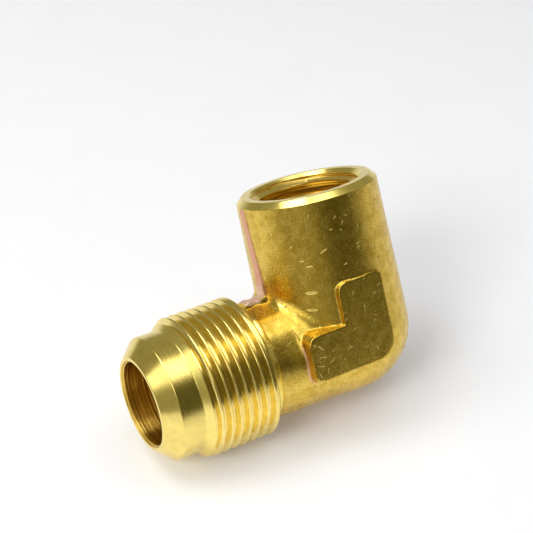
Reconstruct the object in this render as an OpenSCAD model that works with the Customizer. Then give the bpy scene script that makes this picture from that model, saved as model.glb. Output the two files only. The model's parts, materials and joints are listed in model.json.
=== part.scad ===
// Forged brass 90 degree elbow, 45 degree flare port by female tapered pipe port.
//
// One piece of hot-forged brass with two machined ends.  The forging has a round
// barrel (pipe port), a slimmer round neck (flare port), a rounded heel, an
// L-shaped wrench pad on each side and the narrow land left where the flash was
// trimmed off on the die line.
//
// Frame: the origin is where the two port axes cross.  +Z runs out of the pipe
// port, +X runs out of the flare port, and the wrench pads face +Y and -Y.
// All lengths are in millimetres.

/* [What to draw] */

// Node to draw, "all" for the whole fitting

/* [Flare port] */

// Major diameter of the flare thread (1-1/16-14 UNF, class 2A)
flare_thread_d = 26.9; // [11:0.05:36]

// Threads per inch on the flare port
flare_tpi = 14; // [10:1:24]

// From the crossing of the axes to the flare nose
flare_reach = 41.8; // [25:0.1:70]

// Bore through the flare port (5/8 in)
flow_bore_d = 15.88; // [4:0.01:25]

// Outside diameter of the flat ring at the nose
nose_d = 17.8; // [6:0.1:30]

// Diameter of the plain pilot behind the 45 degree seat
pilot_d = 23.5; // [8:0.1:34]

// Length of the plain pilot
pilot_len = 4.2; // [1:0.1:10]

// Length of the thread, lead-in chamfer included
flare_thread_len = 14.4; // [6:0.1:25]

// Break on the inside edge of the nose
nose_break = 0.4; // [0.1:0.05:1]

/* [Thread relief] */

// Width of the machined relief behind the flare thread
relief_w = 1.55; // [0.5:0.05:4]

// Diameter of the relief
relief_d = 22.1; // [10:0.1:30]

/* [Pipe port] */

// From the crossing of the axes to the pipe port face
pipe_reach = 29.4; // [18:0.1:50]

// Threads per inch on the pipe port (1/2-14 NPT)
pipe_tpi = 14; // [8:0.5:27]

// Tap drill for the pipe thread (23/32 in)
tap_drill_d = 18.26; // [8:0.01:30]

// Major diameter of the pipe thread at the port face
pipe_major_d = 21.22; // [9:0.01:34]

// Countersink diameter at the port face
countersink_d = 21.8; // [10:0.1:35]

// Length of tapped thread
pipe_thread_len = 14.2; // [6:0.1:25]

// Depth of the full tap drill from the port face
tap_drill_depth = 20.2; // [8:0.1:30]

// Outside diameter of the barrel at its machined rim
barrel_d = 26.8; // [14:0.1:40]

// Outer chamfer on the rim
rim_chamfer = 1.1; // [0.3:0.1:3]

/* [Forged body] */

// Die draft of the barrel, degrees
barrel_draft = 1.15; // [0:0.05:3]

// Diameter of the neck between the relief and the heel
neck_d = 22.4; // [12:0.1:36]

// Corner radius of the rounded heel
heel_r = 12.3; // [6:0.1:20]

// Concave radius in the crotch between barrel and neck
crotch_r = 2.6; // [0.5:0.1:6]

// Width of the trimmed flash land
land_w = 1.6; // [0.8:0.1:3]

// How far the land stands proud of the forging
land_h = 0.15; // [0.05:0.05:0.5]

/* [Wrench pads] */

// Across the two wrench pads
across_pads = 27.8; // [16:0.1:40]

// Pad edge on the flare side, from the pipe axis
pad_front = 13.0; // [6:0.1:20]

// Pad edge on the heel side, from the pipe axis
pad_back = 4.4; // [2:0.1:12]

// Pad top edge, from the flare axis
pad_top = 12.9; // [6:0.1:20]

// Pad bottom edge, from the flare axis
pad_bottom = 3.65; // [2:0.1:12]

// Inside corner of the L, from the pipe axis
pad_arm_x = 5.0; // [2:0.1:10]

// Inside corner of the L, from the flare axis
pad_arm_z = 5.1; // [2:0.1:10]

// Corner radius of the pads
pad_corner_r = 1.3; // [0.3:0.1:3]

// Corner cut at the heel end of the pads
pad_heel_cut = 2.3; // [0.5:0.1:5]

// Draft on the pad walls, degrees
pad_draft = 8; // [0:0.5:15]

/* [Hidden] */

$fn = 56;
overlap = 0.01;
inch = 25.4;

// flare thread, UN form
flare_pitch = inch / flare_tpi;
flare_thread_depth = 0.6134 * flare_pitch;
flare_crest_w = 0.125 * flare_pitch;
flare_root_w = 0.25 * flare_pitch;
flare_crest_r = flare_thread_d / 2;
flare_root_r = flare_crest_r - flare_thread_depth;

// flare seat, a true 45 degree cone
seat_len = (pilot_d - nose_d) / 2;
seat_start = flare_reach - seat_len;
pilot_start = seat_start - pilot_len;
thread_end = pilot_start;
thread_start = thread_end - flare_thread_len;
lead_len = flare_crest_r - pilot_d / 2;
relief_start = thread_start - relief_w;

// pipe thread, taper 1 in 16 on diameter
pipe_pitch = inch / pipe_tpi;
pipe_taper = 1 / 32;
pipe_crest_w = 0.14 * pipe_pitch;
pipe_drill_r = tap_drill_d / 2;
countersink_len = (countersink_d - tap_drill_d) / 2;
pipe_flank = tan(30);

// forged body
barrel_top_z = pipe_reach - rim_chamfer;
barrel_slope = tan(barrel_draft);
heel_z = heel_r - neck_d / 2;
barrel_base_r = barrel_d / 2 + barrel_slope * (barrel_top_z - heel_z);
heel_core_r = barrel_base_r - heel_r;
drill_point = tan(31) * flow_bore_d / 2;
pad_y = across_pads / 2;
pad_root_y = 6;
pad_grow = (pad_y - pad_root_y) * tan(pad_draft);
flare_turns = floor((flare_thread_len - lead_len) / flare_pitch);
pipe_turns = floor(pipe_thread_len / pipe_pitch);

// Turns a shape drawn about Z so that it runs out along +X.
module along_flare() {
    rotate([0, 90, 0])
        children();
}

// Round barrel of the pipe port, widening slightly toward the heel.
module barrel() {
    rotate_extrude()
        polygon([
            [0, heel_z],
            [barrel_base_r, heel_z],
            [barrel_d / 2, barrel_top_z],
            [barrel_d / 2 - rim_chamfer, pipe_reach],
            [0, pipe_reach]
        ]);
}

// Round neck that carries the flare end.
module neck() {
    along_flare()
        cylinder(d = neck_d, h = relief_start + overlap);
}

// Rounded heel that closes the barrel on the outside of the bend.
module heel() {
    rotate_extrude()
        intersection() {
            union() {
                translate([heel_core_r, heel_z])
                    circle(r = heel_r);
                translate([0, heel_z - heel_r])
                    square([heel_core_r, heel_r]);
            }
            translate([0, heel_z - heel_r])
                square([barrel_base_r, heel_r]);
        }
}

// Barrel and heel, with their crowns flat where the pads lie.
module barrel_and_heel() {
    intersection() {
        union() {
            barrel();
            heel();
        }
        cube([4 * barrel_d, across_pads, 4 * pipe_reach], center = true);
    }
}

// Points of one rounded corner of a pad outline.
function corner(cx, cz, r, from, steps) = [
    for (i = [0 : steps])
        [cx + r * cos(from + i * 90 / steps), cz + r * sin(from + i * 90 / steps)]
];

// Outline of the pad's arm along the flare axis, grown outward by g.
function flare_arm(g) = concat(
    corner(pad_front - pad_corner_r, -pad_bottom + pad_corner_r, pad_corner_r + g, -90, 4),
    corner(pad_front - pad_corner_r, pad_arm_z - pad_corner_r, pad_corner_r + g, 0, 4),
    [[-pad_back - g, pad_arm_z + g]],
    corner(-pad_back + pad_heel_cut, -pad_bottom + pad_heel_cut, pad_heel_cut + g, 180, 1)
);

// Outline of the pad's arm up the barrel, grown outward by g.
function barrel_arm(g) = concat(
    [[pad_arm_x + g, 0]],
    corner(pad_arm_x - pad_corner_r, pad_top - pad_corner_r, pad_corner_r + g, 0, 4),
    corner(-pad_back + pad_corner_r, pad_top - pad_corner_r, pad_corner_r + g, 90, 4),
    [[-pad_back - g, 0]]
);

// One arm of a pad on the +Y side, its walls drafted from foot to top.
module drafted_block(foot, top) {
    n = len(top);
    polyhedron(
        points = concat(
            [for (p = foot) [p[0], pad_root_y, p[1]]],
            [for (p = top) [p[0], pad_y, p[1]]]
        ),
        faces = concat(
            [[for (i = [0 : n - 1]) n - 1 - i]],
            [[for (i = [0 : n - 1]) n + i]],
            [for (i = [0 : n - 1]) [i, (i + 1) % n, n + (i + 1) % n, n + i]]
        )
    );
}

// L-shaped wrench pad on the +Y side.
module wrench_pad() {
    drafted_block(flare_arm(pad_grow), flare_arm(0));
    drafted_block(barrel_arm(pad_grow), barrel_arm(0));
}

// Outline of the fitting on the die line, with the crotch rounded.
module die_line_outline() {
    polygon([
        [-barrel_base_r - land_h, heel_z],
        [barrel_base_r + land_h, heel_z],
        [barrel_d / 2 + land_h, barrel_top_z - 1],
        [-barrel_d / 2 - land_h, barrel_top_z - 1]
    ]);
    for (side = [-1, 1])
        translate([side * heel_core_r, heel_z])
            circle(r = heel_r + land_h);
    translate([0, -neck_d / 2 - land_h])
        square([relief_start - 0.3, neck_d + 2 * land_h]);
    difference() {
        translate([barrel_d / 2 - 1, neck_d / 2 - 1])
            square([crotch_r + 1.6, crotch_r + 1.2]);
        translate([barrel_d / 2 + crotch_r + 0.6, neck_d / 2 + crotch_r + land_h])
            circle(r = crotch_r);
    }
}

// Narrow land left on the die line where the flash was trimmed.
module trim_land() {
    translate([0, land_w / 2, 0])
        rotate([90, 0, 0])
            linear_extrude(height = land_w)
                die_line_outline();
}

// Flare end: relief core, thread root, pilot, 45 degree seat and nose.
module flare_core() {
    along_flare()
        rotate_extrude()
            polygon([
                [0, relief_start],
                [relief_d / 2, relief_start],
                [relief_d / 2, thread_start],
                [flare_root_r, thread_start],
                [flare_root_r, thread_end - lead_len + flare_thread_depth],
                [pilot_d / 2, thread_end],
                [pilot_d / 2, seat_start],
                [nose_d / 2, flare_reach],
                [0, flare_reach]
            ]);
}

// One thread crest on the flare port, drawn about Z at height z.
module flare_crest(z) {
    half = (flare_pitch - flare_root_w) / 2;
    rotate_extrude()
        polygon([
            [flare_root_r - 0.2, z - half],
            [flare_root_r, z - half],
            [flare_crest_r, z - flare_crest_w / 2],
            [flare_crest_r, z + flare_crest_w / 2],
            [flare_root_r, z + half],
            [flare_root_r - 0.2, z + half]
        ]);
}

// Thread crests of the flare port, with the wide crest where the cut runs out.
module flare_thread() {
    half = (flare_pitch - flare_root_w) / 2;
    along_flare() {
        rotate_extrude()
            polygon([
                [flare_root_r - 0.2, thread_start],
                [flare_crest_r - 0.3, thread_start],
                [flare_crest_r, thread_start + 0.3],
                [flare_crest_r, thread_start + flare_pitch * 0.75],
                [flare_root_r, thread_start + flare_pitch * 0.75 + half - flare_crest_w / 2],
                [flare_root_r - 0.2, thread_start + flare_pitch]
            ]);
        for (i = [1 : flare_turns])
            flare_crest(thread_start + (i + 0.55) * flare_pitch);
    }
}

// Flow passage: flare bore, its drill point and the broken nose edge.
module flare_bore() {
    along_flare()
        rotate_extrude()
            polygon([
                [0, -6 - drill_point],
                [flow_bore_d / 2, -6],
                [flow_bore_d / 2, flare_reach - nose_break],
                [flow_bore_d / 2 + nose_break + 0.1, flare_reach + 0.1],
                [0, flare_reach + 0.1]
            ]);
}

// Pipe bore: countersink, tap drill and the smaller hole down to the bend.
module pipe_bore() {
    rotate_extrude()
        polygon([
            [0, -2 - drill_point],
            [flow_bore_d / 2, -2],
            [flow_bore_d / 2, pipe_reach - tap_drill_depth - 0.7],
            [pipe_drill_r, pipe_reach - tap_drill_depth],
            [pipe_drill_r, pipe_reach - countersink_len],
            [countersink_d / 2 + 0.1, pipe_reach + 0.1],
            [0, pipe_reach + 0.1]
        ]);
}

// One thread groove in the pipe port at height z, shallower with depth.
module pipe_groove(z) {
    r = pipe_major_d / 2 - (pipe_reach - z) * pipe_taper;
    depth = r - pipe_drill_r;
    half = depth * pipe_flank + 0.06;
    if (depth > 0.25)
        rotate_extrude()
            polygon([
                [pipe_drill_r - 0.2, z - half - 0.2 * pipe_flank],
                [r, z - 0.06],
                [r, z + 0.06],
                [pipe_drill_r - 0.2, z + half + 0.2 * pipe_flank]
            ]);
}

// Tapered pipe thread grooves.
module pipe_thread() {
    for (i = [0 : pipe_turns - 1])
        pipe_groove(pipe_reach - 1.1 - i * pipe_pitch);
}

// The whole fitting, one piece of brass.
module elbow_body() {
    color([0.80, 0.62, 0.22])
        difference() {
            union() {
                barrel_and_heel();
                neck();
                wrench_pad();
                mirror([0, 1, 0])
                    wrench_pad();
                trim_land();
                flare_core();
                flare_thread();
            }
            flare_bore();
            pipe_bore();
            pipe_thread();
        }
}

elbow_body();
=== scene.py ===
import json
import math

import bmesh
import bpy
import numpy as np
import openvdb as vdb
from mathutils import Matrix, Vector


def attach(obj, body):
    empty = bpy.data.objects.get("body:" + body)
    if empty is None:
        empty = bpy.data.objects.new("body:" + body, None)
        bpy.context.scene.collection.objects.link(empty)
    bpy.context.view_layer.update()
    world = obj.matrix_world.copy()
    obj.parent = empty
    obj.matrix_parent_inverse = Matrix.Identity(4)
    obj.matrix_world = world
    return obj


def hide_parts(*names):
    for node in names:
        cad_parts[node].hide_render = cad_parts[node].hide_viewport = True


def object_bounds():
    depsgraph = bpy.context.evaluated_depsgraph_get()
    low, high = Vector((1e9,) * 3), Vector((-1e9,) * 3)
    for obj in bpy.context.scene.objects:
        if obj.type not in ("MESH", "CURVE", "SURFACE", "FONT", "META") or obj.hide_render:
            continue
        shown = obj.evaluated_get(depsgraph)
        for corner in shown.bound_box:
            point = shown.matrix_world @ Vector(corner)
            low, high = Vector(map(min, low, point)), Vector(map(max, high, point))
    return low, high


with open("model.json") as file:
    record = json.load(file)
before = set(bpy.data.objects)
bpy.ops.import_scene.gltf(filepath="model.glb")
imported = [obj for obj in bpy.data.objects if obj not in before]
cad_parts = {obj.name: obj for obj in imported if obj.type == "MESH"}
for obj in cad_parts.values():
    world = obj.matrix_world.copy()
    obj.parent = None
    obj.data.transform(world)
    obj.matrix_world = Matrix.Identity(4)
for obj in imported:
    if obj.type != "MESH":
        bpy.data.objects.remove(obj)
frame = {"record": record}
cad_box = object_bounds()

# Sizes are in millimetres in the row frame: +X out of the flare port, +Z out of the pipe port.
MM = 0.001
mounts = {m["name"]: m for m in frame["record"]["mounts"]}

# Driving sizes, from the frame
FLARE_REACH = cad_box[1].x / MM
PIPE_FACE = cad_box[1].z / MM
PAD_Y = cad_box[1].y / MM
THREAD_R = mounts["flare_thread"]["dims"]["r_mm"]
BORE_R = mounts["flow_bore"]["dims"]["r_mm"]
TAP_R = mounts["pipe_socket"]["dims"]["r_mm"]

# Forging. Under the drafted barrel the heel is a round of HEEL_R about a small flat, and STOCK is
# the metal left on each end for the lathe.
DRAFT = math.tan(math.radians(1.15))
HEEL_R = 12.3
HEEL_FLAT_R = 1.646
HEEL_Z = 1.1
BARREL_FOOT_R = HEEL_R + HEEL_FLAT_R
STOCK = 1.0
# The neck is round with four slanted faces above, which fade out before the barrel, and its sides
# swell out by NECK_FLARE where it runs into the barrel.
NECK_R = 11.2
NECK_END = 18.8
NECK_FLARE = 0.9
NECK_FLARE_X = (16.8, 12.6)
FACET_TILT = math.radians(69)
FACET_OUT = 10.87
FLAT_TILT = math.radians(20)
FLAT_OUT = 11.0
FLATS_FADE_X = (14.0, 11.5)
FLATS_CLEAR = 2.5
FACET_EDGE = 0.12
FLAT_EDGE = 0.35
RIPPLE = 0.006
RIPPLE_RATE = 4.2
# Blend between neck and barrel: at the crotch, what the sides add, and what the heel adds
CROTCH_FILLET = 0.6
SIDE_FILLET = 1.6
HEEL_FILLET = 4.0
SKIN_SWELL = 0.018
# The trimmed die line: its half width, what it gains towards the crotch, how far off the middle it
# starts and drifts, how ragged its edges are at the crotch, how high it stands, and how high where
# it is torn
LAND_HALF = 0.8
LAND_GAIN = 0.6
LAND_OFF = -0.85
LAND_DRIFT = 1.35
LAND_JAG = 0.05
LAND_JAG_GAIN = 0.12
LAND_PROUD = 0.13
FLASH_PROUD = 0.5
# Wrench pads: an L with its heel corner cut off
PAD_X = (-4.4, 5.0, 13.0)
PAD_Z = (-3.65, 5.1, 12.9)
PAD_CORNER_R = 1.3
PAD_HEEL_CUT = 2.3
PAD_NOTCH_R = 2.2
PAD_DRAFT = math.tan(math.radians(6))
PAD_EDGE = 0.24
PAD_SWELL = 0.012
PAD_FOOT = 0.04
PAD_FOOT_GAIN = 0.16

# Flare end. The thread runs from THREAD_START back to THREAD_END. Its groove is swept from
# GROOVE_PHASE, and starts after the part of a turn that the last land takes.
PITCH = 25.4 / 14
CREST_W = PITCH / 8
CREST_BREAK = 0.09
THREAD_DEPTH = 1.113
THREAD_START = 34.75
THREAD_END = 20.3
GROOVE_PHASE = 20.32
GROOVE_FIRST_TURN = 0.55
RELIEF_R = 10.45
PILOT_R = 11.75
SEAT_X = 38.95
NOSE_R = 8.9
EDGE_BREAK = 0.4
THREAD_SLOPE = math.tan(math.radians(30))
DRILL_SLOPE = math.tan(math.radians(31))

# Pipe end, and how far back the two drilled passages go
RIM_R = 12.3
MOUTH_R = 10.85
MOUTH_SLOPE = 1.0
NPT_MAJOR_R = 10.61
NPT_TAPER = 1 / 32
NPT_LENGTH = 14.2
NPT_PHASE = -0.6
TAP_DEPTH = 20.2
BORE_BACK = -6.0
PIPE_BORE_END = -2.0

# Faces round a lathe solid and round one turn of a thread, and the grid around the forging: its
# limits, and its wide and close spacing
SEGMENTS = 192
TURN_STEPS = 96
GRID_X = (-15.2, NECK_END + 2)
GRID_Y = (-15.0, 15.0)
GRID_Z = (-12.6, PIPE_FACE + 2)
GRID_SPACING = ((0.42, 0.17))


# ---------------------------------------------------------------- forging as a distance field
def smooth_min(a, b, k):
    """The lesser of a and b, blended where they are closer than k."""
    h = np.maximum(k - np.abs(a - b), 0.0) / k
    return np.minimum(a, b) - h * h * k * 0.25


def smooth_max(a, b, k):
    return -smooth_min(-a, -b, k)


def smooth_step(lo, hi, v):
    """0 at lo and 1 at hi, eased at both ends. lo may be the greater."""
    t = np.clip((v - lo) / (hi - lo), 0.0, 1.0)
    return t * t * (3.0 - 2.0 * t)


def waves(x, y, z, scale, seed):
    """A smooth wandering value in about -1..1 that repeats nowhere on the part."""
    rng = np.random.RandomState(seed)
    total = 0.0
    for _ in range(7):
        d = rng.normal(size=3)
        d *= (0.6 + 0.8 * rng.rand()) / np.linalg.norm(d) * 2 * math.pi / scale
        total = total + np.sin(x * d[0] + y * d[1] + z * d[2] + rng.rand() * 2 * math.pi)
    return total / 3.2


def barrel_and_neck(x, y, z):
    """The drafted barrel with its round heel, blended into the round neck."""
    r = np.hypot(x, y)
    wall = (r - BARREL_FOOT_R + (z - HEEL_Z) * DRAFT) * math.cos(math.atan(DRAFT))
    out = np.maximum(r - HEEL_FLAT_R, 0.0)
    bend = np.hypot(out, z - HEEL_Z) - HEEL_R
    barrel = np.where(z > HEEL_Z, wall, bend)
    barrel = np.maximum(barrel, z - PIPE_FACE - STOCK)
    across = np.hypot(y, z)
    facet = np.abs(y) * math.cos(FACET_TILT) + z * math.sin(FACET_TILT) - FACET_OUT
    flat = np.abs(y) * math.cos(FLAT_TILT) + z * math.sin(FLAT_TILT) - FLAT_OUT
    clear = FLATS_CLEAR * smooth_step(*FLATS_FADE_X, x)
    ripple = RIPPLE * np.sin(x * RIPPLE_RATE) * smooth_step(12.0, 14.0, x)
    flare = NECK_FLARE * smooth_step(*NECK_FLARE_X, x) * (y / np.maximum(across, 1e-6)) ** 2
    neck = smooth_max(across - NECK_R + ripple, facet - clear, FACET_EDGE)
    neck = smooth_max(neck, flat - clear, FLAT_EDGE) - flare
    neck = np.maximum(np.maximum(neck, -x), x - NECK_END - STOCK)
    # How far the two surfaces lean apart: 0 where they run together, 1 at the crotch.
    steep = np.maximum(np.hypot(out, np.minimum(z - HEEL_Z, 0.0)), 1e-6)
    barrel_up = np.where(z > HEEL_Z, 0.0, (z - HEEL_Z) / steep)
    barrel_y = y / np.maximum(r, 1e-6) * np.sqrt(1.0 - barrel_up ** 2)
    lean = 1.0 - (barrel_y * y + barrel_up * z) / np.maximum(across, 1e-6)
    fillet = CROTCH_FILLET + SIDE_FILLET * smooth_step(0.8, 5.0, np.abs(y))
    fillet = fillet + HEEL_FILLET * smooth_step(-1.0, -7.0, z)
    return smooth_min(barrel, neck, fillet * np.sqrt(np.clip(lean, 0.0, 1.0)) + 0.02)


def land_edges(x, z):
    """Low and high Y of the trimmed strip: it wanders off the middle and widens towards the crotch."""
    inside = smooth_step(4.0, 9.0, x) * smooth_step(2.0, 8.0, z)
    down = np.clip((PIPE_FACE - 1.4 - z) / 15.0, 0.0, 1.2)
    middle = inside * (LAND_OFF + LAND_DRIFT * down)
    half = LAND_HALF + inside * LAND_GAIN * down
    return middle - half, middle + half


def land_height(x, z):
    """How far the strip stands proud: a trace, but torn and higher on the neck beside the crotch."""
    torn = smooth_step(12.0, 14.0, x) * smooth_step(8.0, 10.5, z) * smooth_step(15.0, 13.0, z)
    return LAND_PROUD + (FLASH_PROUD - LAND_PROUD) * torn * (1.0 + 0.3 * waves(x, 0 * x, z, 2.0, 21))


def pad_outline(x, z):
    """The L of a wrench pad, as a distance in the XZ plane."""
    cx, cz = (PAD_X[0] + PAD_X[2]) / 2, (PAD_Z[0] + PAD_Z[2]) / 2
    qx = np.abs(x - cx) - (PAD_X[2] - cx) + PAD_CORNER_R
    qz = np.abs(z - cz) - (PAD_Z[2] - cz) + PAD_CORNER_R
    outer = np.hypot(np.maximum(qx, 0), np.maximum(qz, 0)) + np.minimum(np.maximum(qx, qz), 0)
    notch = -smooth_max(PAD_X[1] - x, PAD_Z[1] - z, 0.5)
    heel = (PAD_X[0] - x + PAD_Z[0] - z + PAD_HEEL_CUT) / math.sqrt(2)
    return smooth_max(smooth_max(outer - PAD_CORNER_R, notch, PAD_NOTCH_R), heel, 1.0)


# Knocks in the web beside the crotch: centre, direction of its length, length, width and depth
DENTS = (
    ((12.35, 6.2, 9.5), (-0.45, 0.75, 0.75), 1.1, 0.28, 0.20),
    ((12.0, 7.0, 8.6), (-0.45, 0.75, 0.4), 0.8, 0.3, 0.13),
    ((11.2, 7.6, 10.6), (0.3, -0.5, 0.8), 0.9, 0.35, 0.10),
)


def dent_depth(x, y, z, centre, way, length, width, depth):
    """How far one knock lies below the skin: a long soft hollow."""
    along = np.array(way) / np.linalg.norm(way)
    dx, dy, dz = x - centre[0], y - centre[1], z - centre[2]
    run = dx * along[0] + dy * along[1] + dz * along[2]
    away = np.sqrt(np.maximum(dx * dx + dy * dy + dz * dz - run * run, 0.0))
    return depth * np.exp(-((run / length) ** 2 + (away / width) ** 2) * 2.5)


def forging(x, y, z):
    """Distance to the skin of the forging, negative inside."""
    skin = barrel_and_neck(x, y, z) + SKIN_SWELL * waves(x, y, z, 7.0, 3)
    # The die line: a proud strip left where the flash was trimmed off, all round the outline.
    outline = barrel_and_neck(x, 0.0 * y, z) - land_height(x, z)
    low, high = land_edges(x, z)
    ragged = LAND_JAG + LAND_JAG_GAIN * smooth_step(16.0, 12.5, z)
    jag = ragged * waves(x, 0 * y, z, 2.4, 8)
    land = smooth_max(outline, np.maximum(low - y, y - high) + jag, 0.08)
    body = smooth_min(skin, land, 0.06)
    side = np.abs(y)
    wall = (pad_outline(x, z) - (PAD_Y - side) * PAD_DRAFT) * math.cos(math.atan(PAD_DRAFT))
    top = side - PAD_Y + 0.01 + PAD_SWELL * waves(x, y, z, 5.0, 11)
    pad = smooth_max(wall, top, PAD_EDGE)
    foot = PAD_FOOT + PAD_FOOT_GAIN * smooth_step(-0.1, 0.6, wall - top)
    body = smooth_min(body, pad, foot)
    for dent in DENTS:
        body = body + dent_depth(x, y, z, *dent)
    return np.maximum(body, side - PAD_Y)


def steps(limits, marks, reach):
    """Grid planes between two limits, closer together near the marks."""
    lo, hi = limits
    coarse, fine = GRID_SPACING
    out = [lo]
    while out[-1] < hi:
        near = min(abs(out[-1] - m) for m in marks) / reach
        out.append(out[-1] + fine + (coarse - fine) * min(1.0, near) ** 2)
    return np.array(out)


def forging_mesh():
    """The forging's skin as quads on a grid that is finest at the pads' edges and the die line."""
    xs = steps(GRID_X, PAD_X + (14.6, 16.4), 1.4)
    ys = steps(GRID_Y, (-PAD_Y, -LAND_HALF, 0.0, LAND_HALF, PAD_Y), 1.2)
    zs = steps(GRID_Z, PAD_Z + (11.2,), 1.4)
    gx, gy, gz = np.meshgrid(xs, ys, zs, indexing="ij")
    values = forging(gx, gy, gz)
    grid = vdb.FloatGrid()
    grid.background = 3.0
    grid.copyFromArray(np.clip(values / GRID_SPACING[1], -3, 3).astype(np.float32))
    grid.transform = vdb.createLinearTransform(voxelSize=1.0)
    points, quads = grid.convertToQuads(isovalue=0.0)
    points = np.array(points, float)
    p = [np.interp(points[:, i], np.arange(len(a)), a) for i, a in enumerate((xs, ys, zs))]
    p = np.stack(p, 1)
    # A few steps downhill put every point on the true skin.
    for _ in range(4):
        value, slope = forging(*p.T), skin_slope(p)
        p -= slope * (np.clip(value, -0.2, 0.2) / np.maximum((slope ** 2).sum(1), 0.2))[:, None]
    return p, np.array(quads)[:, ::-1]


def skin_slope(p, step=0.01):
    """Gradient of the forging's distance field at each point."""
    out = np.empty_like(p)
    for i in range(3):
        a, b = p.copy(), p.copy()
        a[:, i] += step
        b[:, i] -= step
        out[:, i] = (forging(*a.T) - forging(*b.T)) / (2 * step)
    return out


# ---------------------------------------------------------------- turned and threaded solids
def soften(profile):
    """A lathe profile with each corner that has a radius made a short arc, with points beside it."""
    out = [profile[0]]
    for i in range(1, len(profile) - 1):
        a, b, c = (np.array(p[:2], float) for p in (profile[i - 1], profile[i], profile[i + 1]))
        la, lc = np.linalg.norm(a - b), np.linalg.norm(c - b)
        r = min(profile[i][2], la * 0.3, lc * 0.3)
        if r <= 0:
            out.append(tuple(b))
            continue
        ua, uc = (a - b) / la, (c - b) / lc
        out.append(tuple(b + ua * r * 1.5))
        for t in (0.0, 0.33, 0.67, 1.0):
            out.append(tuple(b + ua * r * (1 - t) ** 2 + uc * r * t ** 2))
        out.append(tuple(b + uc * r * 1.5))
    out.append(profile[-1])
    return out


def lathe(profile):
    """Points and faces of a closed solid turned about the axis.

    The profile runs from pole to pole. Its points are (along, radius), and each corner between
    the poles also has a softening radius.
    """
    ring = soften(profile)
    inner = [p[:2] for p in ring if p[1] > 1e-9]
    angles = np.arange(SEGMENTS) * 2 * math.pi / SEGMENTS
    cos, sin = np.cos(angles), np.sin(angles)
    points = [np.stack([np.full(SEGMENTS, along), r * cos, r * sin], 1) for along, r in inner]
    points = np.concatenate(points + [np.array([[ring[0][0], 0, 0], [ring[-1][0], 0, 0]])])
    faces, first_pole = [], len(inner) * SEGMENTS
    for i in range(SEGMENTS):
        j = (i + 1) % SEGMENTS
        for a in range(0, first_pole - SEGMENTS, SEGMENTS):
            b = a + SEGMENTS
            faces.append((a + i, b + i, b + j, a + j))
        faces.append((first_pole, i, j))
        faces.append((first_pole + 1, first_pole - SEGMENTS + j, first_pole - SEGMENTS + i))
    return points, faces


def groove(start, first, turns, section_at):
    """A section swept along a right-hand helix about X that is at start where it crosses +Y."""
    count = int((turns - first) * TURN_STEPS) + 1
    points, faces = [], []
    for i in range(count):
        turn = first + i / TURN_STEPS
        angle = 2 * math.pi * turn
        section = section_at(turn)
        m = len(section)
        for along, r in section:
            points.append((start + PITCH * turn + along, r * math.cos(angle), r * math.sin(angle)))
        if i:
            for k in range(m):
                a, b = (i - 1) * m + k, (i - 1) * m + (k + 1) % m
                faces.append((a, a + m, b + m, b))
    faces.append(tuple(range(m)))
    faces.append(tuple(reversed(range((count - 1) * m, count * m))))
    return np.array(points), faces


def flare_groove():
    """The external thread's cutter: it runs in past the nose end and lifts out at the last land."""
    top = THREAD_R + 0.05
    root = THREAD_R - THREAD_DEPTH
    turns = (THREAD_START + 1.5 - GROOVE_PHASE) / PITCH

    def section(turn):
        lift = (THREAD_DEPTH + 0.02) * (1 - min(1.0, (turn - GROOVE_FIRST_TURN) / 0.3)) ** 1.5
        floor = root + lift
        foot_w = (PITCH - CREST_W) / 2 - THREAD_DEPTH * THREAD_SLOPE
        edge = max(THREAD_R - CREST_BREAK, floor + 0.01)
        below = max(edge - 0.1, floor + 0.005)
        edge_w = foot_w + (edge - floor) * THREAD_SLOPE
        below_w = foot_w + (below - floor) * THREAD_SLOPE
        top_w = edge_w + (top - edge) * 1.5
        half = ((top_w, top), (edge_w, edge), (below_w, below), (foot_w, floor))
        return tuple((-a, r) for a, r in half) + tuple(reversed(half))

    return groove(GROOVE_PHASE, GROOVE_FIRST_TURN, turns, section)


def pipe_groove():
    """The cutter of the tapered internal thread, running in from the mouth."""
    turns = (NPT_LENGTH + 1.5) / PITCH

    def section(turn):
        depth = NPT_LENGTH - turn * PITCH
        root = NPT_MAJOR_R - depth * NPT_TAPER
        run_out = min(1.0, 0.15 + turn / 0.8)
        root = TAP_R + (root - TAP_R) * run_out
        low = TAP_R - 0.06
        w = min(0.12 + (root - low) * THREAD_SLOPE, PITCH * 0.47)
        return ((-w, low), (-0.16, root - 0.08), (0.0, root), (0.16, root - 0.08), (w, low))

    return groove(PIPE_FACE - NPT_LENGTH + NPT_PHASE, 0.0, turns, section)


def flare_profile():
    """Half outline of the machined flare end, from inside the neck out to the nose."""
    chamfer = THREAD_R - PILOT_R
    back = 0.35
    return [
        (12.0, 0.0), (12.0, RELIEF_R, 0), (THREAD_END, RELIEF_R, 0.08),
        (THREAD_END, THREAD_R - back, 0.06), (THREAD_END + back, THREAD_R, 0.06),
        (THREAD_START - chamfer, THREAD_R, 0), (THREAD_START, PILOT_R, 0.1), (SEAT_X, PILOT_R, 0.12),
        (FLARE_REACH, NOSE_R, 0.12), (FLARE_REACH, 4.0, 0), (FLARE_REACH, 0.0),
    ]


def flow_bore_profile():
    """The drilled passage of the flare end, with the broken edge at the nose."""
    out = 0.6
    return [
        (BORE_BACK - BORE_R * DRILL_SLOPE, 0.0), (BORE_BACK, BORE_R, 0),
        (FLARE_REACH - EDGE_BREAK, BORE_R, 0.08),
        (FLARE_REACH + out, BORE_R + EDGE_BREAK + out, 0), (FLARE_REACH + out, 0.0),
    ]


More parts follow.
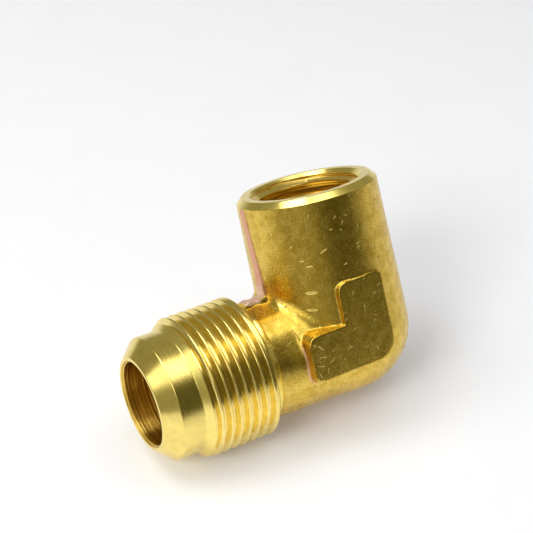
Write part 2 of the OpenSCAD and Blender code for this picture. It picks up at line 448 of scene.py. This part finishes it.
def pipe_bore_profile():
    """The tap drill and the passage below it, with the countersunk mouth."""
    floor = PIPE_FACE - TAP_DEPTH
    sink = (MOUTH_R - TAP_R) * MOUTH_SLOPE
    return [
        (PIPE_BORE_END - BORE_R * DRILL_SLOPE, 0.0), (PIPE_BORE_END, BORE_R, 0),
        (floor - (TAP_R - BORE_R) * 0.6, BORE_R, 0.1), (floor, TAP_R, 0),
        (PIPE_FACE - sink, TAP_R, 0), (PIPE_FACE + MOUTH_SLOPE, MOUTH_R + 1.0, 0),
        (PIPE_FACE + MOUTH_SLOPE, 0.0),
    ]


def rim_cutter_profile():
    """What the lathe takes off the end of the barrel: the face and its outer chamfer."""
    out = 3.0
    return [
        (PIPE_FACE, 0.0), (PIPE_FACE, RIM_R, 0.1), (PIPE_FACE - out, RIM_R + out, 0),
        (PIPE_FACE + out, RIM_R + out, 0), (PIPE_FACE + out, 0.0),
    ]


def neck_cutter_profile():
    """What the lathe takes off the end of the neck: a shoulder sloping down into the thread relief."""
    shoulder, relief, end = NECK_END - 0.35, NECK_END + 0.5, NECK_END + 5
    outside = 16.0
    return [
        (relief, 0.0), (relief, RELIEF_R, 0), (shoulder, NECK_R - 0.1, 0.05),
        (shoulder, outside, 0), (end, outside, 0), (end, 0.0),
    ]


# ---------------------------------------------------------------- materials
# The forging's skin: darker and paler clouds, hollows and tops of the grain, then its marks
SKIN_DARK = (0.65, 0.455, 0.083, 1)
SKIN_PALE = (0.81, 0.59, 0.14, 1)
SKIN_HOLLOW = (0.50, 0.34, 0.055, 1)
SKIN_TOP = (0.93, 0.74, 0.25, 1)
TRIM_PINK = (0.80, 0.44, 0.32, 1)
TORN_PINK = (0.88, 0.62, 0.50, 1)
PIT_BROWN = (0.10, 0.075, 0.05, 1)
# Bare metal in the nicks, and also the colour of a painted highlight on the web
NICK_GOLD_AND_GLARE = (0.97, 0.82, 0.33, 1)
# Cut surfaces
TURNED = (0.92, 0.75, 0.25)
THREAD_CUT = (0.97, 0.79, 0.31)
TAPPED = (0.93, 0.70, 0.21)
DRILLED = (0.95, 0.68, 0.17)
STAIN = (0.70, 0.47, 0.14, 1)
# Painted shade for the valleys of the tool rings
RING_VALLEY_SHADE = (0.42, 0.24, 0.05, 1)


class Nodes:
    """Short calls for building a node tree."""

    def __init__(self, tree):
        self.tree = tree

    def add(self, kind, **settings):
        node = self.tree.nodes.new(kind)
        for key, value in settings.items():
            setattr(node, key, value)
        return node

    def link(self, a, b):
        self.tree.links.new(a, b)

    def feed(self, socket, value):
        if isinstance(value, bpy.types.NodeSocket):
            self.link(value, socket)
        elif value is not None:
            socket.default_value = value

    def math(self, operation, a, b=None, clamp=False):
        node = self.add("ShaderNodeMath", operation=operation, use_clamp=clamp)
        self.feed(node.inputs[0], a)
        self.feed(node.inputs[1], b)
        return node.outputs[0]

    def mix(self, factor, a, b):
        node = self.add("ShaderNodeMix", data_type="RGBA")
        self.feed(node.inputs["Factor"], factor)
        self.feed(node.inputs[6], a)
        self.feed(node.inputs[7], b)
        return node.outputs[2]

    def ramp(self, value, lo, hi, out_lo=0.0, out_hi=1.0):
        node = self.add("ShaderNodeMapRange", interpolation_type="SMOOTHSTEP")
        for socket, v in zip(node.inputs, (value, lo, hi, out_lo, out_hi)):
            self.feed(socket, v)
        return node.outputs[0]

    def noise(self, vector, scale, detail=3.0, rough=0.5):
        node = self.add("ShaderNodeTexNoise")
        self.feed(node.inputs["Vector"], vector)
        node.inputs["Scale"].default_value = scale
        node.inputs["Detail"].default_value = detail
        node.inputs["Roughness"].default_value = rough
        return node.outputs["Fac"]

    def place(self, vector, scale=(1, 1, 1), turn=(0, 0, 0), move=(0, 0, 0)):
        node = self.add("ShaderNodeMapping")
        self.feed(node.inputs["Vector"], vector)
        node.inputs["Location"].default_value = move
        node.inputs["Rotation"].default_value = turn
        node.inputs["Scale"].default_value = scale
        return node.outputs[0]

    def bump(self, height, strength, distance, normal=None):
        node = self.add("ShaderNodeBump")
        node.inputs["Strength"].default_value = strength
        node.inputs["Distance"].default_value = distance
        self.feed(node.inputs["Height"], height)
        self.feed(node.inputs["Normal"], normal)
        return node.outputs[0]


def start_brass(name):
    """A material with a metal shader, and the part's own position in millimetres."""
    material = bpy.data.materials.new(name)
    material.use_nodes = True
    tree = material.node_tree
    tree.nodes.clear()
    n = Nodes(tree)
    out = n.add("ShaderNodeOutputMaterial")
    shader = n.add("ShaderNodeBsdfPrincipled")
    shader.inputs["Metallic"].default_value = 1.0
    n.link(shader.outputs[0], out.inputs["Surface"])
    where = n.add("ShaderNodeTexCoord").outputs["Object"]
    position = n.place(where, scale=(1 / MM, 1 / MM, 1 / MM))
    return material, n, shader, position


def scratches(n, position, turn, length, width, rarity, move):
    """Short straight nicks, where thin discs lying one way through space meet the skin: 1 on a nick."""
    vector = n.place(position, scale=(1 / length, 1 / width, 1 / length), turn=turn, move=move)
    cells = n.add("ShaderNodeTexVoronoi")
    cells.inputs["Scale"].default_value = 1.0
    cells.inputs["Randomness"].default_value = 1.0
    n.link(vector, cells.inputs["Vector"])
    near = n.ramp(cells.outputs["Distance"], 0.10, 0.22, 1.0, 0.0)
    pick = n.add("ShaderNodeSeparateColor")
    n.link(cells.outputs["Color"], pick.inputs[0])
    chosen = n.math("GREATER_THAN", pick.outputs[0], rarity)
    return n.math("MULTIPLY", near, chosen)


# Nicks seen in the photo. On the barrel: degrees round from the flare port towards the near pad,
# height, lean from level in degrees, half length, half width.
BARREL_NICKS = (
    (66, 19.3, 22, 1.0, 0.17), (50, 12.1, -4, 1.6, 0.30), (48, 8.9, -8, 1.4, 0.24),
    (42, 21.0, 40, 0.4, 0.14), (48, 18.2, -5, 0.5, 0.12), (53, 17.0, 0, 0.8, 0.13),
    (85, 23.5, 60, 0.6, 0.08), (83, 22.2, -45, 0.5, 0.08), (80, 24.8, 50, 0.5, 0.08),
    (89, 24.6, -30, 0.5, 0.08), (75, 22.8, 20, 0.4, 0.08), (81, 16.0, 17, 0.5, 0.11),
    (27, 23.9, -70, 0.8, 0.12), (60, 26.0, 70, 0.6, 0.08), (95, 19.0, 35, 0.5, 0.08),
)
BARREL_PITS = (
    (125, 25.0, 80, 0.35, 0.22), (112, 15.0, 60, 0.40, 0.20), (135, 10.0, 70, 0.55, 0.22),
    (75, 13.4, 20, 0.50, 0.28), (150, 11.0, 80, 0.70, 0.25), (128, 19.5, 10, 0.22, 0.18),
)
# On the web beside the crotch: centre, direction, outward direction, half length, half width
# The widest of these is a pale patch of painted highlight where the web catches glare; the rest are
# nicks.
WEB_NICKS_AND_GLARE = (
    ((13.0, 5.7, 10.3), (-0.4, 1.2, -0.9), (0.6, 0.6, 0.5), 0.9, 0.45),
    ((12.8, 6.5, 9.5), (-0.6, 1.0, -0.6), (0.5, 0.6, 0.6), 1.2, 0.14),
    ((11.7, 7.9, 8.7), (-0.4, 0.8, -1.0), (0.6, 0.7, 0.4), 1.1, 0.15),
    ((11.0, 9.2, 6.8), (-0.1, 0.5, -1.0), (0.4, 0.8, 0.4), 0.9, 0.12),
)
WEB_SLIT = ((12.5, 6.5, 10.0), (-0.7, 0.9, 0.7), (0.7, 0.6, 0.3), 0.5, 0.13)
# On the near pad: X, Z, lean from X in degrees, half length, half width
PAD_NICKS = (
    (10.9, 2.6, 53, 1.1, 0.20), (12.0, 3.4, 50, 0.5, 0.12), (11.6, -0.6, 20, 0.9, 0.08),
    (10.4, -1.8, 100, 0.7, 0.08), (9.0, -0.2, 150, 0.9, 0.07), (12.0, -2.4, 75, 0.6, 0.09),
    (8.6, 1.4, 130, 0.6, 0.07), (10.6, 0.8, 10, 0.5, 0.08), (6.5, -1.0, 60, 0.5, 0.07),
    (-0.5, -1.2, 72, 0.7, 0.08), (1.6, -0.2, 130, 0.5, 0.07), (4.8, 0.8, 58, 0.5, 0.08),
    (0.5, 7.0, 95, 0.9, 0.07), (2.2, 10.5, 120, 0.5, 0.08), (-1.5, 5.0, 30, 0.4, 0.08),
    (3.3, 4.0, 150, 0.6, 0.07),
)
# Fine nicks anywhere on the skin, in six families: turn, length, width, share left out
FINE_NICKS = (
    ((0.3, 0.5, 0.3), 5.0, 0.36, 0.80),
    ((1.2, 2.0, 0.9), 4.0, 0.32, 0.75),
    ((2.1, 1.1, 2.2), 3.2, 0.30, 0.72),
    ((2.9, 2.7, 1.4), 6.4, 0.34, 0.85),
    ((0.8, 0.2, 2.8), 2.4, 0.28, 0.70),
    ((1.7, 2.4, 0.1), 3.6, 0.30, 0.80),
)


def add_streak(n, position, so_far, centre, along, outward, half_length, half_width):
    """Adds a long thin lens lying in the skin at one place: 1 inside any streak so far."""
    # The renderer's stack can't hold many of these at once, so each one waits for the one before:
    # its position is moved by a millionth of a millimetre times the streaks so far.
    wait = n.add("ShaderNodeVectorMath", operation="MULTIPLY_ADD")
    wait.inputs[1].default_value = (1e-6, 1e-6, 1e-6)
    n.feed(wait.inputs[0], so_far)
    n.link(position, wait.inputs[2])
    position = wait.outputs[0]
    along = Vector(along).normalized()
    across = Vector(outward).cross(along).normalized()
    outward = along.cross(across)
    node = n.add("ShaderNodeMapping", vector_type="TEXTURE")
    n.link(position, node.inputs["Vector"])
    node.inputs["Location"].default_value = centre
    node.inputs["Rotation"].default_value = Matrix((along, across, outward)).transposed().to_euler()
    node.inputs["Scale"].default_value = (half_length, half_width, 0.5)
    size = n.add("ShaderNodeVectorMath", operation="LENGTH")
    n.link(node.outputs[0], size.inputs[0])
    return n.math("MAXIMUM", so_far, n.ramp(size.outputs["Value"], 0.45, 1.0, 1.0, 0.0))


def barrel_marks(n, position, marks, rows):
    """Adds marks that lie in the barrel's wall, from rows like BARREL_NICKS."""
    for round_by, height, lean, half_length, half_width in rows:
        angle, lean = math.radians(round_by), math.radians(lean)
        outward = Vector((math.cos(angle), math.sin(angle), 0))
        level = Vector((-math.sin(angle), math.cos(angle), 0))
        centre = outward * (BARREL_FOOT_R - (height - HEEL_Z) * DRAFT) + Vector((0, 0, height))
        along = level * math.cos(lean) + Vector((0, 0, math.sin(lean)))
        marks = add_streak(n, position, marks, centre, along, outward, half_length, half_width)
    return marks


def placed_nicks_and_glare(n, position):
    """The nicks listed above, each where the photo shows it, and a pale patch of painted highlight on
    the web.
    """
    # The first streak has to wait too, so it gets a value near zero that isn't constant.
    marks = n.math("MULTIPLY", n.noise(position, 1.0, 0.0), 0.001)
    marks = barrel_marks(n, position, marks, BARREL_NICKS)
    for x, z, lean, half_length, half_width in PAD_NICKS:
        along = Vector((math.cos(math.radians(lean)), 0, math.sin(math.radians(lean))))
        centre = Vector((x, PAD_Y, z))
        marks = add_streak(n, position, marks, centre, along, (0, 1, 0), half_length, half_width)
    for mark in WEB_NICKS_AND_GLARE:
        marks = add_streak(n, position, marks, *mark)
    return marks


def torn_beside_crotch(n, position):
    """1 on the neck beside the crotch, where the flash tore off."""
    split = n.add("ShaderNodeSeparateXYZ")
    n.link(position, split.inputs[0])
    out_along_neck = n.ramp(split.outputs["X"], 12.0, 15.0)
    below_barrel = n.ramp(split.outputs["Z"], 13.0, 15.0, 1.0, 0.0)
    return n.math("MULTIPLY", out_along_neck, below_barrel)


def pits_and_slit(n, position):
    """Dark pits: a few scattered in patches, and those that the photo shows."""
    cells = n.add("ShaderNodeTexVoronoi")
    cells.inputs["Scale"].default_value = 0.55
    n.link(position, cells.inputs["Vector"])
    pit = n.ramp(cells.outputs["Distance"], 0.05, 0.12, 1.0, 0.0)
    patches = n.ramp(n.noise(position, 0.22, 2.0), 0.54, 0.58)
    pit = n.math("MULTIPLY", pit, patches)
    pit = barrel_marks(n, position, pit, BARREL_PITS)
    return add_streak(n, position, pit, *WEB_SLIT)


def fine_nicks(n, position):
    """Fine nicks all over, more of them in some patches than in others."""
    nick = None
    for i, (turn, length, width, rarity) in enumerate(FINE_NICKS):
        one = scratches(n, position, turn, length, width, rarity, (3.1 * i, 1.7 * i, 0.4))
        nick = one if nick is None else n.math("MAXIMUM", nick, one)
    patches = n.ramp(n.noise(position, 0.35, 2.0), 0.35, 0.6, 0.15, 0.8)
    return n.math("MULTIPLY", nick, patches)


def forged_brass():
    """The blasted and tumbled skin of the forging, with its trimmed die line, nicks and pits, and a
    painted highlight on the web.
    """
    material, n, shader, p = start_brass("forged_brass")
    cloud = n.noise(p, 0.5, 5.0, 0.65)
    grain = n.noise(p, 3.0, 5.0, 0.7)
    fine = n.noise(p, 9.0, 3.0, 0.6)
    colour = n.mix(n.ramp(cloud, 0.38, 0.62), SKIN_DARK, SKIN_PALE)
    colour = n.mix(n.ramp(grain, 0.52, 0.70, 0.0, 0.7), colour, SKIN_HOLLOW)
    colour = n.mix(n.ramp(grain, 0.36, 0.26, 0.0, 0.5), colour, SKIN_TOP)

    trim = n.add("ShaderNodeAttribute", attribute_name="trim").outputs["Fac"]
    patchy = n.ramp(n.noise(p, 1.6, 4.0, 0.65), 0.30, 0.55, 0.55, 1.0)
    worn = n.ramp(n.noise(p, 1.1, 4.0, 0.6), 0.50, 0.80, 0.0, 0.5)
    torn = torn_beside_crotch(n, p)
    pink = n.mix(n.math("MAXIMUM", worn, torn), TRIM_PINK, TORN_PINK)
    colour = n.mix(n.math("MULTIPLY", trim, patchy), colour, pink)

    pit = pits_and_slit(n, p)
    colour = n.mix(n.math("MULTIPLY", pit, 0.7), colour, PIT_BROWN)
    nick = fine_nicks(n, p)
    # The placed marks include the pale patch of painted highlight on the web, made less metallic below.
    seen = placed_nicks_and_glare(n, p)
    dull_torn = n.math("MULTIPLY", n.math("MULTIPLY", trim, torn), 0.4)
    dull = n.math("ADD", n.math("MULTIPLY", seen, 0.15), dull_torn)
    n.link(n.math("SUBTRACT", 1.0, dull, clamp=True), shader.inputs["Metallic"])
    nick = n.math("MAXIMUM", nick, seen)
    colour = n.mix(n.math("MULTIPLY", nick, 0.85), colour, NICK_GOLD_AND_GLARE)
    n.link(colour, shader.inputs["Base Color"])

    rough = n.ramp(grain, 0.3, 0.7, 0.23, 0.33)
    rough = n.math("SUBTRACT", rough, n.math("MULTIPLY", nick, 0.08))
    rough = n.math("ADD", rough, n.math("MULTIPLY", trim, 0.16))
    n.link(rough, shader.inputs["Roughness"])
    height = n.math("ADD", n.math("MULTIPLY", grain, 0.55), n.math("MULTIPLY", fine, 0.45))
    normal = n.bump(height, 0.75, 0.06 * MM)
    cuts = n.math("MULTIPLY", n.math("ADD", nick, pit), -1.0)
    normal = n.bump(cuts, 0.7, 0.05 * MM, normal)
    n.link(normal, shader.inputs["Normal"])
    return material


def turned_brass(name, axis, tint, roughness, ring_scale, ring_depth):
    """Bright brass from the lathe, with its tool rings about one axis. Deep rings get painted shade in
    their valleys.
    """
    material, n, shader, p = start_brass(name)
    parts = n.add("ShaderNodeSeparateXYZ")
    n.link(p, parts.inputs[0])
    along, others = ("X", "YZ") if axis == "x" else ("Z", "XY")
    u, v = (parts.outputs[i] for i in others)
    radius = n.math("SQRT", n.math("ADD", n.math("MULTIPLY", u, u), n.math("MULTIPLY", v, v)))
    track = n.math("ADD", parts.outputs[along], radius)
    rings = n.add("ShaderNodeTexNoise", noise_dimensions="1D")
    n.link(track, rings.inputs["W"])
    rings.inputs["Scale"].default_value = ring_scale
    rings.inputs["Detail"].default_value = 4.0
    rings.inputs["Roughness"].default_value = 0.7
    cloud = n.noise(p, 0.6, 3.0, 0.6)
    stain = n.ramp(n.noise(p, 1.9, 5.0, 0.7), 0.62, 0.75, 0.0, 0.07)
    light = tuple(min(1.0, c * 1.04) for c in tint) + (1,)
    dark = tuple(c * 0.96 for c in tint) + (1,)
    colour = n.mix(n.ramp(cloud, 0.35, 0.65), dark, light)
    colour = n.mix(stain, colour, STAIN)
    # Painted shade: the deeper the rings, the darker their valleys
    valley_shade = n.ramp(rings.outputs["Fac"], 0.42, 0.58, min(0.6, ring_depth * 0.15), 0.0)
    colour = n.mix(valley_shade, colour, RING_VALLEY_SHADE)
    n.link(colour, shader.inputs["Base Color"])
    rough = n.ramp(rings.outputs["Fac"], 0.3, 0.7, roughness * 0.85, roughness * 1.2)
    n.link(rough, shader.inputs["Roughness"])
    normal = n.bump(rings.outputs["Fac"], 1.0, ring_depth * 0.03 * MM)
    n.link(normal, shader.inputs["Normal"])
    return material


# ---------------------------------------------------------------- assembly
def add_object(name, points, faces, material=None, axis=None):
    """A mesh object from points in millimetres. Lathe solids lie along X, or with axis "z" stand."""
    points = np.asarray(points, float)
    if axis == "z":
        points = points[:, [1, 2, 0]]
    mesh = bpy.data.meshes.new(name)
    mesh.from_pydata((points * MM).tolist(), [], [tuple(int(i) for i in f) for f in faces])
    mesh.validate()
    obj = bpy.data.objects.new(name, mesh)
    bpy.context.scene.collection.objects.link(obj)
    if material:
        mesh.materials.append(material)
    bm = bmesh.new()
    bm.from_mesh(mesh)
    bmesh.ops.recalc_face_normals(bm, faces=bm.faces)
    bm.to_mesh(mesh)
    bm.free()
    return obj


def carve(target, tool, operation):
    """Applies a boolean to target with tool, and throws the tool away."""
    modifier = target.modifiers.new("carve", "BOOLEAN")
    modifier.operation = operation
    modifier.object = tool
    modifier.solver = "MANIFOLD"
    modifier.material_mode = "TRANSFER"
    bpy.context.view_layer.update()
    made = bpy.data.meshes.new_from_object(target.evaluated_get(bpy.context.evaluated_depsgraph_get()))
    target.modifiers.clear()
    old = target.data
    target.data = made
    made.name = target.name
    bpy.data.meshes.remove(old)
    bpy.data.objects.remove(tool)


def build_elbow():
    """The forging with its two ends machined on and its passages cut, in the order of the real work."""
    forged = forged_brass()
    # Each with its roughness, how close its tool rings are, and how deep
    turned_x = turned_brass("turned_flare_end", "x", TURNED, 0.21, 3.5, 0.6)
    turned_z = turned_brass("turned_pipe_end", "z", TURNED, 0.19, 4.0, 0.4)
    cut_x = turned_brass("cut_flare_thread", "x", THREAD_CUT, 0.18, 4.0, 0.3)
    cut_z = turned_brass("cut_pipe_thread", "z", TAPPED, 0.24, 4.0, 0.5)
    drilled = turned_brass("drilled_bore", "x", DRILLED, 0.22, 2.0, 4.0)

    elbow = add_object("flare_elbow", *forging_mesh(), forged)
    carve(elbow, add_object("neck_cut", *lathe(neck_cutter_profile()), turned_x), "DIFFERENCE")
    carve(elbow, add_object("rim_cut", *lathe(rim_cutter_profile()), turned_z, "z"), "DIFFERENCE")
    flare = add_object("flare_end", *lathe(flare_profile()), turned_x)
    carve(flare, add_object("flare_groove", *flare_groove(), cut_x), "DIFFERENCE")
    carve(elbow, flare, "UNION")
    carve(elbow, add_object("pipe_bore", *lathe(pipe_bore_profile()), turned_z, "z"), "DIFFERENCE")
    carve(elbow, add_object("flow_bore", *lathe(flow_bore_profile()), drilled), "DIFFERENCE")
    carve(elbow, add_object("pipe_groove", *pipe_groove(), cut_z, "z"), "DIFFERENCE")
    finish_elbow(elbow)
    return elbow


def finish_elbow(elbow):
    """Smooth shading with sharp machined corners, and the mask of the trimmed die line."""
    mesh = elbow.data
    mesh.shade_smooth()
    mesh.set_sharp_from_angle(angle=math.radians(38))
    count = len(mesh.vertices)
    points = np.empty(count * 3)
    mesh.vertices.foreach_get("co", points)
    x, y, z = points.reshape(-1, 3).T / MM
    low, high = land_edges(x, z)
    inside = np.minimum(y - low, high - y)
    depth = -barrel_and_neck(x, 0.0 * y, z)
    on_land = smooth_step(-0.10, 0.02, inside) * (np.abs(depth) < 0.95) * (depth < 0.12)
    # The photo also shows the pink of bare metal down the end wall of the near pad.
    from_pad = pad_outline(x, z)
    end_wall = smooth_step(0.12, 0.25, from_pad) * smooth_step(0.62, 0.45, from_pad)
    scar = end_wall * smooth_step(4.0, 2.5, z) * smooth_step(9.5, 10.5, y) * (x > 12.0) * (x < 15.0)
    trim = np.maximum(on_land, 0.8 * scar)
    mask = mesh.attributes.new("trim", "FLOAT", "POINT")
    mask.data.foreach_set("value", trim.astype(np.float32))


# ---------------------------------------------------------------- studio
# The table's upward direction: the part lies on its thread and on the back of the far pad, leaning back.
TABLE_UP = Vector((-0.030, 0.386, 0.922)).normalized()
CAMERA_RIGHT = Vector((-0.8635, 0.4558, -0.2157)).normalized()
CAMERA_BACK = Vector((0.4049, 0.8817, 0.2424)).normalized()
CAMERA_AT = Vector((0.12061, 0.23766, 0.08200))
CAMERA_LENS = 97.94
# The white sheet's left, right, near and far edges, how far the table goes, and from where to
# where it fades out, all from the part's origin
SHEET = (-0.20, 0.5, -0.105, 0.9)
TABLE_REACH = 1.5
TABLE_FADE = (0.35, 1.0)
TABLE_GLOW = 0.125
TABLE_GLOW_TINT = (1.0, 0.97, 0.95, 1)
TABLE_DARKER = (0.84, 0.845, 0.86, 1)
TABLE_PALER = (0.88, 0.885, 0.90, 1)
FLOOR_GAP = 0.00002
# The room as the metal sees it, and as the table and the camera see it
ROOM_GREY = (0.28, 0.27, 0.20, 1)
ROOM_DARK = (0.105, 0.100, 0.055, 1)
ROOM_SWEEP = (0.62, 0.62, 0.61, 1)
DOME = (0.165, 0.167, 0.175, 1)
BACKDROP = (0.90, 0.91, 0.92, 1)


def make_camera():
    """The photo's viewpoint, with a lens for a 36 mm wide sensor."""
    data = bpy.data.cameras.new("camera")
    data.sensor_width = 36
    data.lens = CAMERA_LENS
    data.clip_start, data.clip_end = 0.01, 20
    camera = bpy.data.objects.new("camera", data)
    up = CAMERA_BACK.cross(CAMERA_RIGHT).normalized()
    right = up.cross(CAMERA_BACK)
    turn = Matrix((right, up, CAMERA_BACK)).transposed().to_4x4()
    camera.matrix_world = Matrix.Translation(CAMERA_AT) @ turn
    bpy.context.scene.collection.objects.link(camera)
    bpy.context.scene.camera = camera


def studio_turn():
    """The table's own axes: X to the camera's right, Y away from the camera, Z up off the table."""
    ahead = -(CAMERA_BACK - TABLE_UP * CAMERA_BACK.dot(TABLE_UP)).normalized()
    right = ahead.cross(TABLE_UP)
    return Matrix((right, ahead, TABLE_UP)).transposed()


def make_floor(elbow):
    """A white sheet on a white table. The metal sees only the sheet: past its edges the room is dark."""
    lowest = min(v.co.dot(TABLE_UP) for v in elbow.data.vertices)
    place = Matrix.Translation(TABLE_UP * (lowest - FLOOR_GAP)) @ studio_turn().to_4x4()
    material = white_table()
    inner = [(SHEET[i], SHEET[j], 0) for i, j in ((0, 2), (1, 2), (1, 3), (0, 3))]
    corners = ((-1, -1), (1, -1), (1, 1), (-1, 1))
    outer = [(x * TABLE_REACH, y * TABLE_REACH, 0) for x, y in corners]
    round_it = [(i, (i + 1) % 4, 4 + (i + 1) % 4, 4 + i) for i in range(4)]
    for name, points, faces in (("floor", inner, [(0, 1, 2, 3)]), ("table", outer + inner, round_it)):
        mesh = bpy.data.meshes.new(name)
        mesh.from_pydata(points, [], faces)
        mesh.materials.append(material)
        piece = bpy.data.objects.new(name, mesh)
        piece.matrix_world = place
        piece.visible_glossy = name == "floor"
        bpy.context.scene.collection.objects.link(piece)


def white_table():
    """Pale, a little glossy, fading away far from the part, and seen only from above, so that views
    from below still show the part."""
    material = bpy.data.materials.new("white_table")
    material.use_nodes = True
    tree = material.node_tree
    tree.nodes.clear()
    n = Nodes(tree)
    out = n.add("ShaderNodeOutputMaterial")
    shader = n.add("ShaderNodeBsdfPrincipled")
    shader.inputs["Roughness"].default_value = 0.3
    shader.inputs["IOR"].default_value = 1.45
    shader.inputs["Emission Color"].default_value = TABLE_GLOW_TINT
    shader.inputs["Emission Strength"].default_value = TABLE_GLOW
    where = n.add("ShaderNodeTexCoord").outputs["Object"]
    paper = n.mix(n.noise(where, 60.0, 3.0), TABLE_DARKER, TABLE_PALER)
    n.link(paper, shader.inputs["Base Color"])
    clear = n.add("ShaderNodeBsdfTransparent")
    join = n.add("ShaderNodeMixShader")
    size = n.add("ShaderNodeVectorMath", operation="LENGTH")
    n.link(where, size.inputs[0])
    fade = n.ramp(size.outputs["Value"], *TABLE_FADE)
    below = n.add("ShaderNodeNewGeometry").outputs["Backfacing"]
    n.link(n.math("MAXIMUM", below, fade), join.inputs[0])
    n.link(shader.outputs[0], join.inputs[1])
    n.link(clear.outputs[0], join.inputs[2])
    n.link(join.outputs[0], out.inputs["Surface"])
    return material


def area_light(name, place, size, radiance, aim=True):
    """A softbox over the table, facing the part or straight down. Place and size are in metres."""
    data = bpy.data.lights.new(name, "AREA")
    data.shape = "RECTANGLE"
    data.size, data.size_y = size
    data.energy = radiance * math.pi * size[0] * size[1]
    light = bpy.data.objects.new(name, data)
    turn = studio_turn()
    spot = turn @ Vector(place)
    if aim:
        back = spot.normalized()
        level = TABLE_UP.cross(back).normalized()
        turn = Matrix((level, back.cross(level), back)).transposed()
    light.matrix_world = Matrix.Translation(spot) @ turn.to_4x4()
    light.visible_camera = False
    bpy.context.scene.collection.objects.link(light)
    return light


def around(azimuth, elevation, distance):
    """A place over the table. Azimuth 0 is away from the camera and 90 to its right."""
    a, e = math.radians(azimuth), math.radians(elevation)
    level = distance * math.cos(e)
    return level * math.sin(a), level * math.cos(a), distance * math.sin(e)


def make_world():
    """Pale behind the part, a soft dome over the table, and a dim room for the metal to reflect."""
    world = bpy.data.worlds.new("room")
    bpy.context.scene.world = world
    world.use_nodes = True
    tree = world.node_tree
    tree.nodes.clear()
    n = Nodes(tree)
    towards = n.add("ShaderNodeTexCoord").outputs["Generated"]

    def along(axis):
        node = n.add("ShaderNodeVectorMath", operation="DOT_PRODUCT")
        n.link(towards, node.inputs[0])
        node.inputs[1].default_value = studio_turn() @ Vector(axis)
        return node.outputs["Value"]

    height = along((0, 0, 1))
    behind = n.ramp(along(around(30, 0, 1)), 0.15, 0.5)
    sweep = n.math("MULTIPLY", behind, n.ramp(height, 0.05, 0.14, 1.0, 0.0))
    colour = n.mix(n.ramp(along(around(128, 10, 1)), 0.70, 0.84), ROOM_GREY, ROOM_DARK)
    colour = n.mix(sweep, colour, ROOM_SWEEP)
    room = n.add("ShaderNodeBackground")
    n.link(colour, room.inputs["Color"])
    dome = n.add("ShaderNodeBackground")
    dome.inputs["Color"].default_value = DOME
    pale = n.add("ShaderNodeBackground")
    pale.inputs["Color"].default_value = BACKDROP
    ray = n.add("ShaderNodeLightPath")
    join, view = n.add("ShaderNodeMixShader"), n.add("ShaderNodeMixShader")
    n.link(ray.outputs["Is Glossy Ray"], join.inputs[0])
    n.link(dome.outputs[0], join.inputs[1])
    n.link(room.outputs[0], join.inputs[2])
    n.link(ray.outputs["Is Camera Ray"], view.inputs[0])
    n.link(join.outputs[0], view.inputs[1])
    n.link(pale.outputs[0], view.inputs[2])
    n.link(view.outputs[0], n.add("ShaderNodeOutputWorld").inputs["Surface"])


def make_lights():
    """Two level panels overhead, a softbox at the front left, and a key light for the shadow."""
    area_light("overhead_left", (-0.47, 0.0, 0.90), (0.50, 0.54), 3.1, aim=False)
    area_light("overhead_right", (0.20, -0.045, 0.90), (0.67, 0.59), 1.5, aim=False)
    area_light("front_left_softbox", around(-132, 36, 1.0), (1.10, 0.62), 1.15)
    key = area_light("key", around(-150, 34, 1.6), (0.56, 0.56), 8.9)
    key.visible_glossy = False


make_camera()
make_world()
elbow = build_elbow()
make_floor(elbow)
make_lights()

# The look stands in for the tone curve of the photo's camera.
bpy.context.scene.view_settings.view_transform = "Standard"
bpy.context.scene.view_settings.look = "Medium High Contrast"

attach(elbow, "root")
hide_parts("elbow_body")
